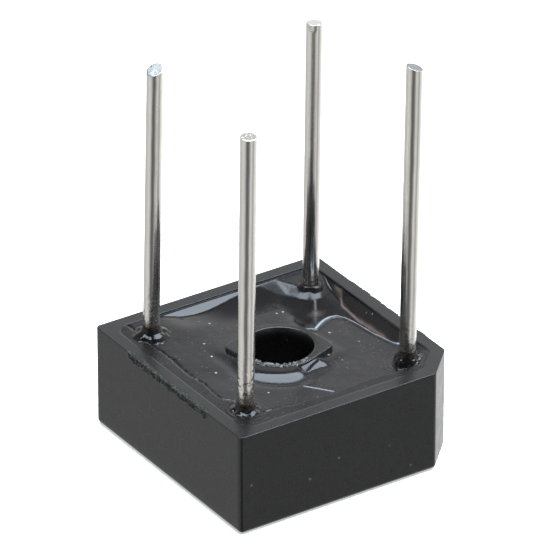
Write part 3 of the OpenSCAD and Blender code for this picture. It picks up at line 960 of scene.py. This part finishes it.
COPPER = plain_metal("rolled_copper", (0.62, 0.30, 0.18, 1), (0.78, 0.42, 0.27, 1), 0.25)
SOLDER = plain_metal("dull_solder", (0.42, 0.42, 0.44, 1), (0.58, 0.58, 0.60, 1), 0.38)
SILICON = chip_silicon()
for name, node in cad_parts.items():
    for start, material in (("plate_", COPPER), ("solder_", SOLDER), ("diode_", SILICON)):
        if name.startswith(start):
            node.data.materials.clear()
            node.data.materials.append(material)

# ---------------------------------------------------------------- camera, floor and light

CAMERA_AZIMUTH = -33.5
CAMERA_ELEVATION = 29.3
CAMERA_DISTANCE = 0.421
CAMERA_LENS = 477.8
SENSOR_WIDTH = 36
AIM = Vector((0, 0, 9)) * MM
AIM_RIGHT, AIM_UP = -0.233 * MM, 1.775 * MM

FLOOR_EXTENT = 3.0
FLOOR_Z = -0.02 * MM  # just clear of the case's underside
FLOOR_WHITE = (0.90, 0.90, 0.90, 1)
FLOOR_LIFT = 0.45  # glow that lifts the floor to white for the camera alone

# The softbox: its size and place in metres, to the right of the object, away from the camera and up.
SOFTBOX_SIZE = (0.70, 0.36)
SOFTBOX_RIGHT, SOFTBOX_AWAY, SOFTBOX_UP = 0.15, 0.12, 0.5
SOFTBOX_POWER = 9.8
SOFTBOX_COLOR = (0.76, 0.87, 1.0)

azimuth, elevation = math.radians(CAMERA_AZIMUTH), math.radians(CAMERA_ELEVATION)
flat = math.cos(elevation)
back = Vector((math.sin(azimuth) * flat, -math.cos(azimuth) * flat, math.sin(elevation)))
right = Vector((math.cos(azimuth), math.sin(azimuth), 0))
away = Vector((-back.x, -back.y, 0)).normalized()

camera_data = bpy.data.cameras.new("camera")
camera_data.lens = CAMERA_LENS
camera_data.sensor_width = SENSOR_WIDTH
camera_data.clip_start = 0.01
camera = add("camera", camera_data)
camera.location = AIM + right * AIM_RIGHT + back.cross(right) * AIM_UP + back * CAMERA_DISTANCE
camera.rotation_euler = (-back).to_track_quat("-Z", "Y").to_euler()
bpy.context.scene.camera = camera

floor_graph = Graph("floor_white")
floor_tree = floor_graph.tree
floor_graph.set(Base_Color=FLOOR_WHITE, Roughness=0.9, Specular_IOR_Level=0.0)
path = floor_graph.node("ShaderNodeLightPath")
seen = floor_graph.math("MULTIPLY", path.outputs["Is Camera Ray"], FLOOR_LIFT)
glow = floor_graph.node("ShaderNodeEmission", {"Color": (1, 1, 1, 1), "Strength": seen})
both = floor_graph.node("ShaderNodeAddShader", {0: floor_graph.shader.outputs[0], 1: glow.outputs[0]})
floor_tree.links.new(both.outputs[0], floor_tree.nodes["Material Output"].inputs["Surface"])
floor_mesh = bpy.data.meshes.new("studio_floor")
square = ((-1, -1), (1, -1), (1, 1), (-1, 1))
floor_corners = [(x * FLOOR_EXTENT, y * FLOOR_EXTENT, FLOOR_Z) for x, y in square]
floor_mesh.from_pydata(floor_corners, [], [(0, 1, 2, 3)])
floor_mesh.materials.append(floor_graph.material)
floor = add("studio_floor", floor_mesh)
floor.visible_glossy = False

softbox_data = bpy.data.lights.new("softbox", "AREA")
softbox_data.shape = "RECTANGLE"
softbox_data.size, softbox_data.size_y = SOFTBOX_SIZE
softbox_data.energy = SOFTBOX_POWER
softbox_data.color = SOFTBOX_COLOR
softbox = add("softbox", softbox_data)
softbox.location = right * SOFTBOX_RIGHT + away * SOFTBOX_AWAY + Vector((0, 0, SOFTBOX_UP))
softbox.rotation_euler = (0, 0, azimuth)

world = bpy.data.worlds.new("studio")
world.use_nodes = True
sky = Nodes(world.node_tree)
background = sky.tree.nodes["Background"]


def curve(value, stops):
    """A value from 0 to 1 turned to a brightness along a list of stops."""
    made = sky.node("ShaderNodeValToRGB", {0: value})
    elements = made.color_ramp.elements
    while len(elements) < len(stops):
        elements.new(0.5)
    for element, (place, level) in zip(elements, stops):
        element.position = place
        element.color = (level, level, level, 1)
    return made.outputs[0]


# What shines back from the studio: brightness by the direction round the object from the camera, in degrees,
# and by the sine of the height above the floor.
ROUND_STUDIO = [
    (-180, 1.0), (-140, 0.80), (-112, 0.56), (-85, 0.72), (-60, 0.78), (-42, 0.62),
    (-31, 0.32), (-22, 0.14), (0, 0.15), (11, 0.26), (24, 0.62), (36, 0.84),
    (50, 0.62), (67, 0.41), (86, 0.78), (110, 1.05), (150, 1.6), (180, 1.1),
]
UP_STUDIO = [(-1, 1.0), (0.35, 1.0), (0.45, 0.92), (0.55, 0.62), (0.65, 0.34), (0.8, 0.2), (1, 0.2)]
AMBIENT = 0.35  # brightness of the studio as a plain light

direction = sky.node("ShaderNodeSeparateXYZ", {0: sky.node("ShaderNodeTexCoord").outputs["Generated"]})
dx, dy, dz = direction.outputs
nearer = sky.math("SUBTRACT", sky.math("MULTIPLY", dx, -away.x), sky.math("MULTIPLY", dy, away.y))
sideways = sky.math("ADD", sky.math("MULTIPLY", dx, right.x), sky.math("MULTIPLY", dy, right.y))
around = sky.math("MULTIPLY_ADD", sky.math("ARCTAN2", sideways, nearer), 1 / (2 * math.pi), 0.5)
upward = sky.math("MULTIPLY_ADD", dz, 0.5, 0.5)
shown = sky.math(
    "MULTIPLY",
    curve(around, [(degrees / 360 + 0.5, level) for degrees, level in ROUND_STUDIO]),
    curve(upward, [(height / 2 + 0.5, level) for height, level in UP_STUDIO]),
)
light_path = sky.node("ShaderNodeLightPath")
glossy = sky.math("MULTIPLY", light_path.outputs["Is Glossy Ray"], sky.math("SUBTRACT", shown, AMBIENT))
direct = sky.math("MAXIMUM", light_path.outputs["Is Camera Ray"], light_path.outputs["Is Transmission Ray"])
strength = sky.math("MAXIMUM", sky.math("ADD", glossy, AMBIENT), direct)
sky.put(strength, background.inputs["Strength"])
background.inputs["Color"].default_value = (1, 1, 1, 1)
bpy.context.scene.world = world

bpy.context.scene.view_settings.view_transform = "Standard"
